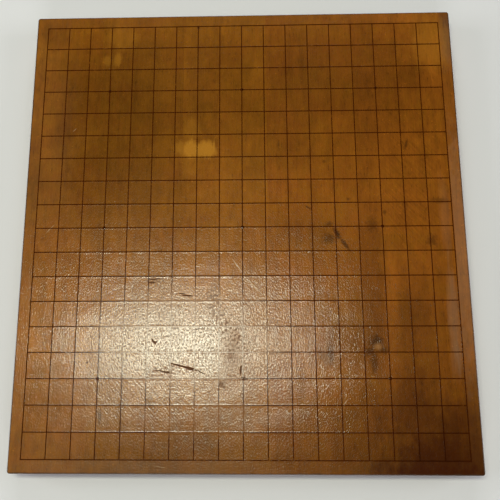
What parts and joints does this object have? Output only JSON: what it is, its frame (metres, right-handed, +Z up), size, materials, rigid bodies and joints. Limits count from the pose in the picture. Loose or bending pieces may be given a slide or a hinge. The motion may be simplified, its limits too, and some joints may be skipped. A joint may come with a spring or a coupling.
{
  "type": "go board",
  "caption": "Flat wooden table go board of edge-glued staves on hidden dowels, with a raised lacquer playing grid and star points on top.",
  "frame": {"origin": "middle of the board's underside", "axes": "+X across the board towards the right edge, +Y along the grain towards the far edge, +Z up out of the playing face"},
  "size_m": [0.424, 0.454, 0.0303],
  "materials": {
    "left_edge_stave_wood": "aged orange-brown wood, worn satin varnish",
    "left_stave_wood": "aged orange-brown wood, worn satin varnish",
    "centre_stave_wood": "aged orange-brown wood, worn satin varnish",
    "right_stave_wood": "aged orange-brown wood, worn satin varnish",
    "right_edge_stave_wood": "aged orange-brown wood, worn satin varnish",
    "dowel_wood": "bare turned hardwood",
    "line_lacquer": "dark brown-black lacquer, worn thin in places"
  },
  "bodies": {
    "root": {"left_edge_stave": "left_edge_stave_wood", "left_stave": "left_stave_wood", "centre_stave": "centre_stave_wood", "right_stave": "right_stave_wood", "right_edge_stave": "right_edge_stave_wood", "left_edge_dowels": "dowel_wood", "left_dowels": "dowel_wood", "right_dowels": "dowel_wood", "right_edge_dowels": "dowel_wood", "column_line_a": "line_lacquer", "column_line_b": "line_lacquer", "column_line_c": "line_lacquer", "column_line_d": "line_lacquer", "column_line_e": "line_lacquer", "column_line_f": "line_lacquer", "column_line_g": "line_lacquer", "column_line_h": "line_lacquer", "column_line_j": "line_lacquer", "column_line_k": "line_lacquer", "column_line_l": "line_lacquer", "column_line_m": "line_lacquer", "column_line_n": "line_lacquer", "column_line_o": "line_lacquer", "column_line_p": "line_lacquer", "column_line_q": "line_lacquer", "column_line_r": "line_lacquer", "column_line_s": "line_lacquer", "column_line_t": "line_lacquer", "row_line_1": "line_lacquer", "row_line_2": "line_lacquer", "row_line_3": "line_lacquer", "row_line_4": "line_lacquer", "row_line_5": "line_lacquer", "row_line_6": "line_lacquer", "row_line_7": "line_lacquer", "row_line_8": "line_lacquer", "row_line_9": "line_lacquer", "row_line_10": "line_lacquer", "row_line_11": "line_lacquer", "row_line_12": "line_lacquer", "row_line_13": "line_lacquer", "row_line_14": "line_lacquer", "row_line_15": "line_lacquer", "row_line_16": "line_lacquer", "row_line_17": "line_lacquer", "row_line_18": "line_lacquer", "row_line_19": "line_lacquer", "star_point_d4": "line_lacquer", "star_point_d10": "line_lacquer", "star_point_d16": "line_lacquer", "star_point_k4": "line_lacquer", "star_point_k10": "line_lacquer", "star_point_k16": "line_lacquer", "star_point_q4": "line_lacquer", "star_point_q10": "line_lacquer", "star_point_q16": "line_lacquer"}
  },
  "joints": []
}
